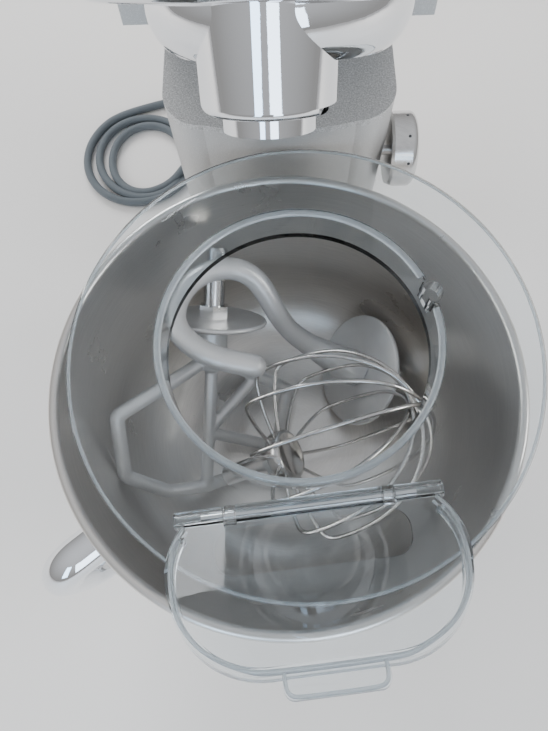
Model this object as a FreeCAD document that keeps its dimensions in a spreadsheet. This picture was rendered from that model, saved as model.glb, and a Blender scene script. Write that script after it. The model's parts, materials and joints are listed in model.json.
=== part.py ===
import FreeCAD, Part
import math
import os
import Sketcher

# Tilt-head planetary stand mixer, head raised, with its bowl, splash guard and three tools.
# Frame: the bowl axis is the Z axis, the table is Z = 0, the column stands on the +Y side,
# the speed knob is on the +X side.  Head parts are laid out with the head down and then
# turned up together about the hinge axis.

Vector = FreeCAD.Vector
Rotation = FreeCAD.Rotation
Placement = FreeCAD.Placement

SIZES = {
    # bowl and its seat
    "rim_height": 174.0, "rim_radius": 112.0, "rim_bead": 2.6, "bowl_wall": 1.2,
    "bowl_floor": 38.0, "bowl_corner": 52.0, "bowl_flare": 4.0,
    "foot_radius": 57.0, "foot_wall": 9.0, "seat_floor": 28.0, "seat_height": 6.0, "seat_rim": 6.0,
    "handle_bearing": 218.0, "handle_reach": 42.0, "handle_tube": 9.5, "handle_top": 152.0,
    "handle_drop": 62.0,
    # base
    "base_top": 26.0, "base_bottom": 4.0, "base_front_radius": 98.0, "base_half_width": 67.0,
    "base_rear": 243.0, "base_wall": 4.0, "cover_thickness": 3.0, "foot_pad_radius": 10.0,
    # column
    "column_top": 187.0, "column_half_width": 62.0, "column_front": 129.0, "column_wall": 3.5,
    "cap_thickness": 4.0, "slot_half_width": 26.0, "slot_front": 138.0,
    # hinge and head
    "hinge_y": 194.0, "hinge_height": 144.0, "pin_radius": 6.0, "barrel_gap": 1.2,
    "head_rest_angle": 37.0, "head_underside": 189.0, "hub_face": 212.0, "head_top": 306.0,
    "head_split": 226.0, "head_front": 74.0, "head_half_width": 66.0, "head_wall": 3.0,
    "head_tail": 60.0,
    # planetary drive
    "ring_radius": 54.0, "ring_bore": 44.0, "ring_face": 200.5, "bell_radius": 38.0,
    "bell_face": 187.0, "orbit_radius": 20.0, "boss_radius": 18.5, "boss_face": 175.0,
    "socket_radius": 13.0, "socket_face": 170.0, "shank_radius": 6.0, "shank_clearance": 0.2,
    "shaft_radius": 8.0, "ring_gear_pitch": 30.0, "planet_pinion_pitch": 10.0,
    "main_gear_pitch": 40.0, "idler_pinion_pitch": 13.0, "idler_gear_pitch": 32.0,
    "input_pinion_pitch": 9.0, "driven_pulley_radius": 34.0, "drive_pulley_radius": 9.0,
    "motor_y": 118.0, "running_gap": 0.3,
    # controls
    "lever_y": 228.2, "knob_radius": 21.5, "knob_length": 15.5, "knob_y": 153.0, "knob_height": 140.0,
    # splash guard
    "guard_radius": 112.0, "guard_wall": 2.0, "guard_shift_x": 8.6, "guard_shift_y": 14.0,
    "collar_radius": 63.0, "collar_height": 24.5, "lid_length": 63.0, "lid_width": 118.0,
    "lid_rest_angle": 28.0, "guard_turn": 6.0,
    # tools
    "beater_width": 124.0, "beater_length": 116.0, "beater_disc": 31.0, "beater_bar": 4.2,
    "hook_disc": 36.0, "hook_bar": 6.3, "whisk_radius": 53.0, "whisk_length": 98.0, "whisk_shoulder": 14.0,
    "tool_shank": 40.0, "hook_shank": 33.0,
    # mains lead
    "cord_diameter": 7.0,
}

doc = FreeCAD.newDocument("StandMixer")


class Size:
    """A driving size: its value, and the sheet formula that produces the value."""

    def __init__(self, value, formula):
        self.value = value
        self.formula = formula

    def _join(self, other, sign, result, swap=False):
        text = other.formula if isinstance(other, Size) else repr(float(other))
        first, second = (text, self.formula) if swap else (self.formula, text)
        return Size(result, f"({first} {sign} {second})")

    def __add__(self, other):
        return self._join(other, "+", self.value + value_of(other))

    def __radd__(self, other):
        return self._join(other, "+", self.value + value_of(other), swap=True)

    def __sub__(self, other):
        return self._join(other, "-", self.value - value_of(other))

    def __rsub__(self, other):
        return self._join(other, "-", value_of(other) - self.value, swap=True)

    def __mul__(self, other):
        return self._join(other, "*", self.value * value_of(other))

    def __rmul__(self, other):
        return self._join(other, "*", self.value * value_of(other), swap=True)

    def __truediv__(self, other):
        return self._join(other, "/", self.value / value_of(other))

    def __neg__(self):
        return Size(-self.value, f"(0 - {self.formula})")


def value_of(size):
    return size.value if isinstance(size, Size) else float(size)


class Sheet:
    """The spreadsheet of driving sizes; each alias reads back as a Size."""

    def __init__(self, sizes):
        self._sheet = doc.addObject("Spreadsheet::Sheet", "dims")
        self._sizes = sizes
        for row, (alias, number) in enumerate(sizes.items(), start=1):
            self._sheet.set(f"A{row}", alias)
            self._sheet.set(f"B{row}", str(number))
            self._sheet.setAlias(f"B{row}", alias)
        doc.recompute()

    def __getattr__(self, alias):
        return Size(self._sizes[alias], f"dims.{alias}")


D = Sheet(SIZES)
NODES = {}


def node(label, obj):
    """Register an object as the sub-part called label."""
    obj.Label = label
    NODES[label] = obj
    return obj


def bind(obj, prop, size):
    """Set a property and tie it to the sheet."""
    if isinstance(size, Size):
        obj.setExpression(prop, size.formula)
    else:
        setattr(obj, prop, size)


# --- sketches and PartDesign bodies -------------------------------------------------------

def origin_plane(body, role):
    return next(item for item in body.Origin.OriginFeatures if item.Role == role)


def outline(body, name, role, points, lift=0.0):
    """Closed sketch through points (x, y); an entry ("arc", x, y) is the middle of an arc
    that joins the points before and after it.  Every corner is held by two dimensions."""
    sketch = body.newObject("Sketcher::SketchObject", name)
    sketch.AttachmentSupport = [(origin_plane(body, role), "")]
    sketch.MapMode = "FlatFace"
    if isinstance(lift, Size):
        sketch.setExpression("AttachmentOffset.Base.z", lift.formula)
    sketch.AttachmentOffset = Placement(Vector(0, 0, value_of(lift)), Rotation())
    corners = [point for point in points if point[0] != "arc"]
    after = {}
    for index, point in enumerate(points):
        if point[0] == "arc":
            before = sum(1 for earlier in points[:index] if earlier[0] != "arc") - 1
            after[before] = point
    count = len(corners)
    ends = []
    for index in range(count):
        start = Vector(*(value_of(size) for size in corners[index]), 0)
        stop = Vector(*(value_of(size) for size in corners[(index + 1) % count]), 0)
        ends.append((1, 2))
        if index in after:
            middle = Vector(*(value_of(size) for size in after[index][1:]), 0)
            clockwise = (middle - start).cross(stop - middle).z < 0
            if clockwise:
                start, stop = stop, start
                ends[-1] = (2, 1)
            sketch.addGeometry(Part.Arc(start, middle, stop), False)
        else:
            sketch.addGeometry(Part.LineSegment(start, stop), False)
    for index in range(count):
        following = (index + 1) % count
        sketch.addConstraint(Sketcher.Constraint(
            "Coincident", index, ends[index][1], following, ends[following][0]))
    for index, (x, y) in enumerate(corners):
        for kind, size in (("DistanceX", x), ("DistanceY", y)):
            number = sketch.addConstraint(Sketcher.Constraint(
                kind, -1, 1, index, ends[index][0], value_of(size)))
            if isinstance(size, Size):
                sketch.setExpression(f"Constraints[{number}]", size.formula)
    return sketch


def edge_names(body, test):
    """Names of the body's edges that pass a test on the edge and its lowest and highest Z."""
    names = []
    for number, edge in enumerate(body.Shape.Edges, start=1):
        heights = [vertex.Z for vertex in edge.Vertexes]
        if test(edge, min(heights), max(heights)):
            names.append(f"Edge{number}")
    return names


def add_fillet(body, name, edges, radius):
    """Fillet added to a body that has been recomputed."""
    before = body.Tip
    soft = body.newObject("PartDesign::Fillet", name)
    soft.Base = (before, edges)
    bind(soft, "Radius", radius)
    body.Tip = soft
    doc.recompute()


def turned(name, points, angle=360.0):
    """Body of revolution about Z; points are (radius, height)."""
    body = doc.addObject("PartDesign::Body", name)
    sketch = outline(body, name + "_profile", "XZ_Plane", points)
    feature = body.newObject("PartDesign::Revolution", name + "_turn")
    feature.Profile = sketch
    feature.ReferenceAxis = (sketch, ["V_Axis"])
    feature.Angle = angle
    body.Tip = feature
    return body


def pressed(name, points, lift, height, taper=0.0, role="XY_Plane", midplane=False):
    """Body padded from a closed outline."""
    body = doc.addObject("PartDesign::Body", name)
    sketch = outline(body, name + "_outline", role, points, lift)
    feature = body.newObject("PartDesign::Pad", name + "_pad")
    feature.Profile = sketch
    feature.Midplane = midplane
    bind(feature, "Length", height)
    bind(feature, "TaperAngle", taper)
    body.Tip = feature
    return body


def primitive(kind, name, place, **sizes):
    """Part primitive with sheet-driven sizes."""
    obj = doc.addObject("Part::" + kind, name)
    for prop, size in sizes.items():
        bind(obj, prop, size)
    obj.Placement = place
    return obj


def fuse(name, *pieces):
    obj = doc.addObject("Part::MultiFuse", name)
    obj.Shapes = list(pieces)
    return obj


def common(name, *pieces):
    obj = doc.addObject("Part::MultiCommon", name)
    obj.Shapes = list(pieces)
    return obj


def cut(name, base, *tools):
    obj = doc.addObject("Part::Cut", name)
    obj.Base = base
    obj.Tool = tools[0] if len(tools) == 1 else fuse(name + "_tools", *tools)
    return obj


def feature(name, shape, place=None):
    """Object whose shape is built in code."""
    obj = doc.addObject("Part::Feature", name)
    obj.Shape = shape
    if place is not None:
        obj.Placement = place
    return obj


def at(x=0, y=0, z=0, turn=None):
    return Placement(Vector(value_of(x), value_of(y), value_of(z)), turn or Rotation())


ALONG_X = Rotation(Vector(0, 1, 0), 90)
ALONG_Y = Rotation(Vector(1, 0, 0), -90)


def group(name, piece, places):
    """Copies of one small piece as separate solids."""
    doc.recompute()
    copies = []
    for place in places:
        copy = piece.Shape.copy()
        copy.Placement = place.multiply(copy.Placement)
        copies.append(copy)
    return feature(name, Part.makeCompound(copies))


# --- wires with rounded corners ------------------------------------------------------------

def rounded_route(points, radius=None):
    """Wire of straight runs joined by tangent arcs."""
    route = [Vector(*point) for point in points]
    edges, start = [], route[0]
    for before, corner, after in zip(route, route[1:], route[2:]):
        inward = (before - corner).normalize()
        outward = (after - corner).normalize()
        half_turn = (math.pi - inward.getAngle(outward)) / 2
        reach = 0.45 * min((before - corner).Length, (after - corner).Length)
        bend = reach / math.tan(half_turn)
        if radius is not None and radius < bend:
            bend = radius
            reach = radius * math.tan(half_turn)
        first = corner + inward * reach
        last = corner + outward * reach
        toward_centre = (inward + outward).normalize()
        centre = corner + toward_centre * (bend / math.cos(half_turn))
        middle = centre - toward_centre * bend
        edges.append(Part.LineSegment(start, first).toShape())
        edges.append(Part.Arc(first, middle, last).toShape())
        start = last
    edges.append(Part.LineSegment(start, route[-1]).toShape())
    return Part.Wire(edges)


def tube(points, thickness, radius=None):
    """Round bar of the given radius swept along a rounded route."""
    wire = rounded_route(points, radius)
    direction = Vector(*points[1]) - Vector(*points[0])
    section = Part.Wire([Part.makeCircle(thickness, Vector(*points[0]), direction)])
    sweep = Part.BRepOffsetAPI.MakePipeShell(wire)
    sweep.setTransitionMode(1)
    sweep.add(section, False, False)
    sweep.build()
    sweep.makeSolid()
    return sweep.shape()


def rounded(shape, radius, test):
    """Fillet the edges of a shape that pass a test on their middle point."""
    edges = []
    for edge in shape.Edges:
        middle = edge.valueAt((edge.FirstParameter + edge.LastParameter) / 2)
        if test(edge, middle):
            edges.append(edge)
    return shape.makeFillet(radius, edges)


# --- base, column and what they hold --------------------------------------------------------

def base_plan(inset):
    """Base outline: round under the bowl, straight beside the column."""
    half = D.base_half_width - inset
    front = D.base_front_radius - inset
    shoulder = math.sqrt(front.value ** 2 - half.value ** 2)
    return [(-half, D.base_rear - inset), (-half, shoulder), ("arc", 0.0, -front.value),
            (half, shoulder), (half, D.base_rear - inset)]


def build_base():
    outer = pressed("BaseOuter", base_plan(0.0), D.base_bottom, D.base_top - D.base_bottom)
    doc.recompute()
    corners = edge_names(outer, lambda edge, low, high: high - low > 1 and edge.Vertexes[0].Y > 200)
    add_fillet(outer, "BaseCornerFillet", corners, 18.0)
    top = value_of(D.base_top)
    add_fillet(outer, "BaseTopFillet", edge_names(outer, lambda edge, low, high: low > top - 0.1), 5.0)
    inner = pressed("BaseInner", base_plan(D.base_wall), D.base_bottom,
                    D.base_top - D.base_bottom - D.base_wall)
    node("base_casting", cut("BaseCasting", outer, inner))

    plate = pressed("BaseCoverPlate", base_plan(D.base_wall + 0.4), D.base_bottom, D.cover_thickness)
    spots = [(-50, -50), (50, -50), (-52, 70), (52, 70), (-50, 222), (50, 222)]
    screw = turned("BaseScrewShape", [(0, 4.2), (3.2, 4.2), (3.2, 5.6), (1.6, 5.6), (1.6, 13.0), (0, 13.0)])
    screws = group("BaseScrews", screw, [at(x, y) for x, y in spots])
    node("base_screws", screws)
    node("base_cover", cut("BaseCover", plate, screws))

    pad = turned("FootShape", [
        (0, 0), (D.foot_pad_radius - 1, 0), (D.foot_pad_radius, 1), (D.foot_pad_radius, 4), (0, 4)])
    corners = [(0, -78), (-50, -20), (50, -20), (-48, 200), (48, 200)]
    node("rubber_feet", group("RubberFeet", pad, [at(x, y) for x, y in corners]))

    seat_bore = D.foot_radius + 1.2
    node("bowl_seat", turned("BowlSeat", [
        (0, D.base_top), (seat_bore + D.seat_rim, D.base_top),
        (seat_bore + D.seat_rim, D.seat_floor + D.seat_height - 2),
        (seat_bore + D.seat_rim - 2, D.seat_floor + D.seat_height),
        (seat_bore, D.seat_floor + D.seat_height), (seat_bore, D.seat_floor), (0, D.seat_floor)]))


def column_plan(inset):
    """Column outline seen from above: bowed front, rounded corners."""
    half = value_of(D.column_half_width) - inset
    front = value_of(D.column_front) + inset
    rear = value_of(D.base_rear) - 4 - inset
    corner = 22.0 - inset
    bow = 5.0
    side = front + bow + corner
    tuck = corner * (1 - math.sqrt(0.5))
    return [(-half, rear), (-half, side), ("arc", -half + tuck, front + bow + tuck),
            (-half + corner, front + bow), ("arc", 0.0, front), (half - corner, front + bow),
            ("arc", half - tuck, front + bow + tuck), (half, side), (half, rear)]


def column_side(inset, floor):
    """Column side view: flat top that rolls over the hinge as a barrel."""
    top = value_of(D.column_top) - inset
    hinge_y, hinge_z = value_of(D.hinge_y), value_of(D.hinge_height)
    barrel = top - hinge_z
    low = math.radians(-40)
    middle = math.radians(25)
    heel = (hinge_y + barrel * math.cos(low), hinge_z + barrel * math.sin(low))
    return [(90.0, floor), (90.0, top), (hinge_y, top),
            ("arc", hinge_y + barrel * math.cos(middle), hinge_z + barrel * math.sin(middle)),
            heel, (value_of(D.base_rear) - 9 - inset, heel[1] - 7),
            (value_of(D.base_rear) - 5 - inset, floor)]


def column_block(name, inset, floor):
    """Plan and side view of the column padded and intersected."""
    height = value_of(D.column_top) - inset - floor
    plan = pressed(name + "Plan", column_plan(inset), floor, height)
    wide = value_of(D.column_half_width) * 2 + 30
    side = pressed(name + "Side", column_side(inset, floor), 0.0, wide, role="YZ_Plane", midplane=True)
    return common(name, plan, side)


def opening(name, low, high):
    """The slot in the top of the column that the head's neck swings in."""
    half = value_of(D.slot_half_width)
    front = value_of(D.slot_front)
    barrel = value_of(D.column_top) - value_of(D.hinge_height)
    back = value_of(D.hinge_y) + barrel * math.cos(math.radians(32))
    block = Part.makeBox(2 * half, back - front, high - low, Vector(-half, front, low))
    upright = [edge for edge in block.Edges if abs(edge.Vertexes[0].Z - edge.Vertexes[1].Z) > 1]
    return feature(name, block.makeFillet(6.0, upright))


def build_column():
    wall = value_of(D.column_wall)
    base_top = value_of(D.base_top)
    cap = value_of(D.cap_thickness)
    cap_floor = value_of(D.column_top) - cap
    hinge_y, hinge_z = value_of(D.hinge_y), value_of(D.hinge_height)
    outer = column_block("ColumnOuter", 0.0, base_top)
    inner = column_block("ColumnInner", wall, base_top - 1)
    cap_seat = feature("ColumnCapSeat", Part.makeBox(160, hinge_y - 90, cap + 5, Vector(-80, 90, cap_floor)))
    slot = opening("ColumnSlot", hinge_z + 12, value_of(D.column_top) + 5)
    spindle_hole = primitive("Cylinder", "SpindleHole", at(40, D.knob_y, D.knob_height, ALONG_X),
                             Radius=4.0, Height=40.0)
    lever_window = primitive("Box", "LeverWindow", at(-19, 214, 46), Length=38.0, Width=40.0, Height=52.0)
    cord_hole = primitive("Cylinder", "CordHole", at(-34, 215, 40, ALONG_Y), Radius=6.0, Height=40.0)
    shell = cut("ColumnShell", outer, inner, cap_seat, slot, spindle_hole, lever_window, cord_hole)
    lug = Part.makeBox(3.5, 9, 10, Vector(18.6, 224, 85)).cut(
        Part.makeCylinder(2.6, 50, Vector(-25, D.lever_y.value, 90), Vector(1, 0, 0)))
    lugs = feature("LeverLugs", lug.fuse(lug.mirror(Vector(), Vector(1, 0, 0))))
    ribs = feature("LugRibs", Part.makeBox(3.5, 5.2, 10, Vector(18.6, 231.8, 85)).fuse(
        Part.makeBox(3.5, 5.2, 10, Vector(-22.1, 231.8, 85))))
    node("column_shell", fuse("ColumnShellWithLugs", shell, lugs, ribs))

    cap_plate = column_block("CapBlock", 0.0, cap_floor)
    cap_limit = feature("CapLimit", Part.makeBox(160, hinge_y - 90 - 0.1, cap + 5, Vector(-80, 90, cap_floor)))
    cap_slot = opening("CapSlot", cap_floor - 2, value_of(D.column_top) + 5)
    node("column_cap", cut("ColumnCap", common("CapPlate", cap_plate, cap_limit), cap_slot))

    pin_radius = value_of(D.pin_radius)
    bracket = Part.makeBox(72, 40, 4, Vector(-36, hinge_y - 20, 92))
    for side in (-36, 32):
        bracket = bracket.fuse(Part.makeBox(4, 40, hinge_z + 14 - 92, Vector(side, hinge_y - 20, 92)))
    bracket = bracket.cut(Part.makeCylinder(pin_radius, 90, Vector(-45, hinge_y, hinge_z), Vector(1, 0, 0)))
    bracket = bracket.cut(Part.makeCylinder(5.4, 20, Vector(0, hinge_y, 85)))
    node("hinge_bracket", feature("HingeBracket", bracket.removeSplitter()))
    node("hinge_pin", primitive("Cylinder", "HingePin", at(-40, D.hinge_y, D.hinge_height, ALONG_X),
                                Radius=D.pin_radius, Height=80.0))

    board = Part.makeBox(70, 1.6, 56, Vector(-35, 146, 58))
    for x, z, width, height, deep in ((-24, 66, 14, 20, 10), (0, 70, 12, 12, 14), (18, 64, 10, 26, 8),
                                      (-8, 94, 18, 10, 6), (14, 98, 14, 9, 9)):
        board = board.fuse(Part.makeBox(width, deep, height, Vector(x, 147.6, z)))
    node("control_board", feature("ControlBoard", board.removeSplitter()))

    pot = Part.makeBox(10, 28, 28, Vector(36, value_of(D.knob_y) - 14, value_of(D.knob_height) - 14))
    pot = pot.cut(Part.makeCylinder(3.05, 20, Vector(37, value_of(D.knob_y), value_of(D.knob_height)),
                                    Vector(1, 0, 0)))
    node("speed_pot", feature("SpeedPot", pot))


def build_latch():
    """Release lever in the rear wall, and the sprung bolt below the hinge barrel."""
    paddle = Part.makeBox(34, 5, 46, Vector(-17, 229.5, 49))
    corners = [edge for edge in paddle.Edges if abs(edge.Vertexes[0].Y - edge.Vertexes[1].Y) > 1]
    paddle = paddle.makeFillet(5.0, corners)
    paddle = paddle.fuse(Part.makeCylinder(5, 34, Vector(-17, D.lever_y.value, 90), Vector(1, 0, 0)))
    paddle = paddle.fuse(Part.makeCylinder(2.55, 44.0, Vector(-22, D.lever_y.value, 90), Vector(1, 0, 0)))
    node("release_lever", feature("ReleaseLever", paddle.removeSplitter()))

    hinge_y, hinge_z = value_of(D.hinge_y), value_of(D.hinge_height)
    top = hinge_z - 16.4
    node("latch_bolt", turned("LatchBolt", [
        (0, 84.0), (5, 84.0), (5, 114.0), (9, 114.0), (9, 118.0), (6, 118.0), (6, top - 3), (4, top), (0, top)]))
    NODES["latch_bolt"].Placement = at(0, hinge_y, 0)
    coil = []
    for index in range(4 * 12 + 1):
        angle = math.radians(30 * index)
        coil.append((7.2 * math.cos(angle), 7.2 * math.sin(angle), 2.9 * index / 12))
    spring = tube(coil, 0.8)
    node("latch_spring", feature("LatchSpring", spring, at(0, hinge_y, 97.0)))


def build_knob():
    x = value_of(D.column_half_width)
    radius, length = D.knob_radius, D.knob_length
    body = turned("SpeedKnob", [
        (3.0, 0), (radius - 1.5, 0), (radius, 1.5), (radius, length - 4), ("arc", radius.value - 1.0,
         length.value - 1.2), (radius - 4, length), (0, length), (0, length - 4), (3.0, length - 4)])
    spindle = primitive("Cylinder", "KnobSpindle", at(z=-26.2), Radius=3.0, Height=D.knob_length - 4 + 26.2)
    knob = fuse("KnobOnSpindle", body, spindle)
    knob.Placement = at(x + 2.2, D.knob_y, D.knob_height, ALONG_X)
    node("speed_knob", knob)


# --- mains lead --------------------------------------------------------------------------------

CORD_LEAD = [(-34, 264, 40), (-34, 284, 40), (-37, 303, 33), (-46, 318, 20), (-61, 326, 9),
             (-80, 327, 3.6), (-99, 324, 3.6), (-116, 320, 3.6)]
CORD_TAIL = [(-73.5, 262, 3.6), (-60, 258, 3.6), (-45, 257, 3.6), (-28, 260, 3.6), (-12, 265.5, 5),
             (2, 270, 9.5), (17, 272, 15), (31, 272, 15)]
COIL_CENTRE = (-126.0, 263.0)
COIL_REACH = (53.0, 55.0)
COIL_HOLE_CENTRE = (-112.0, 253.0)
COIL_HOLE_REACH = (34.5, 36.5)
COIL_HEIGHT = 17.5


def build_cord():
    radius = value_of(D.cord_diameter) / 2
    relief = turned("StrainRelief", [
        (0, -10), (5.6, -10), (5.6, 0), (9.0, 0), (9.0, 4), (7.6, 6), (5.2, 26), (0, 26)])
    relief.Placement = at(-34, 238, 40, ALONG_Y)
    node("strain_relief", relief)
    for label, route in (("cord_lead", CORD_LEAD), ("cord_tail", CORD_TAIL)):
        node(label, feature(label.title().replace("_", ""), tube(route, radius)))

    def oval(centre, reach, height):
        if reach[0] > reach[1]:
            ring = Part.Ellipse(Vector(*centre, 0), reach[0], reach[1])
        else:
            ring = Part.Ellipse(Vector(centre[0], centre[1] + reach[1], 0),
                                Vector(centre[0] + reach[0], centre[1], 0), Vector(*centre, 0))
        return Part.Face(Part.Wire([ring.toShape()])).extrude(Vector(0, 0, height))

    outer = oval(COIL_CENTRE, (COIL_REACH[0] + radius, COIL_REACH[1] + radius), COIL_HEIGHT)
    inner = oval(COIL_HOLE_CENTRE, COIL_HOLE_REACH, COIL_HEIGHT)
    coil = outer.cut(inner)
    for label in ("cord_lead", "cord_tail"):
        coil = coil.cut(NODES[label].Shape)
    node("cord_coil", feature("CordCoil", max(coil.Solids, key=lambda solid: solid.Volume)))

    grip = turned("PlugBody", [
        (0, 0), (4.6, 0), (6.0, 2), (7.0, 12), (12.0, 18), (14.5, 24), (14.5, 36), (0, 36)])
    grip.Placement = at(31, 272, 15, ALONG_X)
    node("plug_body", grip)
    pin = turned("PinShape", [(0, 0), (2.3, 0), (2.3, 17), (1.2, 18.5), (0, 18.5)])
    node("plug_pins", group("PlugPins", pin, [at(67, 272 + side, 15, ALONG_X) for side in (-9.5, 9.5)]))


# --- head -------------------------------------------------------------------------------------

HINGE = Vector(0, D.hinge_y.value, D.hinge_height.value)
TILT = Placement(Vector(), Rotation(Vector(1, 0, 0), -D.head_rest_angle.value), HINGE)


def raise_up(obj):
    """Turn a head part, laid out with the head down, up about the hinge."""
    obj.Placement = TILT.multiply(obj.Placement)
    return obj


def head_plan(inset):
    """Head seen from above: round nose, straight sides."""
    half = value_of(D.head_half_width) - inset
    nose = value_of(D.head_front) - inset
    rear = value_of(D.hinge_y) + value_of(D.head_tail)
    return [(-half, rear), (-half, -8.0), ("arc", -half * 0.75, -nose * 0.72), (-30.0, -nose),
            (30.0, -nose), ("arc", half * 0.75, -nose * 0.72), (half, -8.0), (half, rear)]


def head_side(inset):
    """Head side view: hub plateau, underside over the column, barrel cove, rounded tail."""
    under = value_of(D.head_underside) + inset
    hub = value_of(D.hub_face) + inset
    top = value_of(D.head_top) - inset
    nose = -value_of(D.head_front) + inset
    hinge_y, hinge_z = value_of(D.hinge_y), value_of(D.hinge_height)
    cove = value_of(D.column_top) - hinge_z + value_of(D.barrel_gap) + 0.8 + inset
    tail = value_of(D.head_tail) - inset
    turn = math.radians(45)
    return [(nose, hub + 22), ("arc", nose + 4, hub + 6), (nose + 14, hub), (79.0, hub),
            (91.0, under), (hinge_y, under),
            ("arc", hinge_y + cove * math.cos(turn), hinge_z + cove * math.sin(turn)),
            (hinge_y + cove, hinge_z), (hinge_y + tail, hinge_z),
            ("arc", hinge_y + 50.0 - inset, hinge_z + 95), (hinge_y - 14, top), (20.0, top),
            ("arc", nose + 22, top - 14), (nose, top - 46)]


def head_block(name, inset):
    plan = pressed(name + "Plan", head_plan(inset), 120.0, 210.0)
    side = pressed(name + "Side", head_side(inset), 0.0, 200.0, role="YZ_Plane", midplane=True)
    return common(name, plan, side)


OUTLET_Z = D.head_split.value + 32.0


def build_head_shells():
    wall = value_of(D.head_wall)
    split = value_of(D.head_split)
    hinge_y, hinge_z = value_of(D.hinge_y), value_of(D.hinge_height)
    pin_hole = value_of(D.pin_radius) + 0.05
    outer = head_block("HeadOuter", 0.0)
    inner = head_block("HeadInner", wall)
    doc.recompute()
    shell = outer.Shape.cut(inner.Shape)
    below = Part.makeBox(200, 400, 200, Vector(-100, -120, split - 200))
    above = Part.makeBox(200, 400, 200, Vector(-100, -120, split + 0.15))

    neck = Part.makeBox(46, 24, 48, Vector(-23, hinge_y - 12, hinge_z))
    neck = neck.fuse(Part.makeCylinder(16, 46, Vector(-23, hinge_y, hinge_z), Vector(1, 0, 0)))
    neck = neck.cut(Part.makeCylinder(pin_hole, 60, Vector(-30, hinge_y, hinge_z), Vector(1, 0, 0)))
    tongue = Part.makeBox(18, 8, 30, Vector(-9, 146, value_of(D.head_underside) - 26))
    lower = shell.common(below).fuse(neck).fuse(tongue)
    lower = lower.cut(Part.makeCylinder(value_of(D.shaft_radius) + 6.2, 20, Vector(0, 0, 200)))
    for x, y in HEAD_SCREWS:
        lower = lower.cut(Part.makeCylinder(3.3, 1.8, Vector(x, y, screw_floor(y))))
        lower = lower.cut(Part.makeCylinder(1.7, 20, Vector(x, y, screw_floor(y))))
    node("head_housing", feature("HeadHousing", lower.removeSplitter()))

    cover = shell.common(above)
    cover = cover.cut(Part.makeCylinder(22.2, 40, Vector(0, -90, OUTLET_Z), Vector(0, 1, 0)))
    cover = cover.cut(Part.makeCylinder(20.2, 20, Vector(0, D.motor_y.value, D.head_top.value - 12)))
    node("head_cover", feature("HeadCover", cover.removeSplitter()))

    screw = turned("HeadScrewShape", [(0, 0), (3.2, 0), (3.2, 1.6), (1.6, 1.6), (1.6, 16), (0, 16)])
    node("head_screws", group("HeadScrews", screw, [at(x, y, screw_floor(y)) for x, y in HEAD_SCREWS]))


HEAD_SCREWS = [(-57, 40), (57, 40), (-52, 160), (52, 160)]


def screw_floor(y):
    """Underside of the head at a screw."""
    return value_of(D.hub_face) if y < 79 else value_of(D.head_underside)


def gear(name, pitch, low, high, bore, teeth, rim=0.12):
    """Spur gear blank held inside its pitch circle, with one tooth space per tooth."""
    outside = value_of(pitch) - rim
    blank = Part.makeCylinder(outside, high - low, Vector(0, 0, low))
    spaces = []
    for index in range(teeth):
        angle = 2 * math.pi * index / teeth
        width = math.pi * outside / teeth * 0.9
        notch = Part.makeBox(width * 1.4, width, high - low, Vector(outside - width * 0.8, -width / 2, low))
        notch.rotate(Vector(), Vector(0, 0, 1), math.degrees(angle))
        spaces.append(notch)
    solid = blank.cut(Part.makeCompound(spaces))
    if bore:
        solid = solid.cut(Part.makeCylinder(bore, high - low, Vector(0, 0, low)))
    return solid


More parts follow.
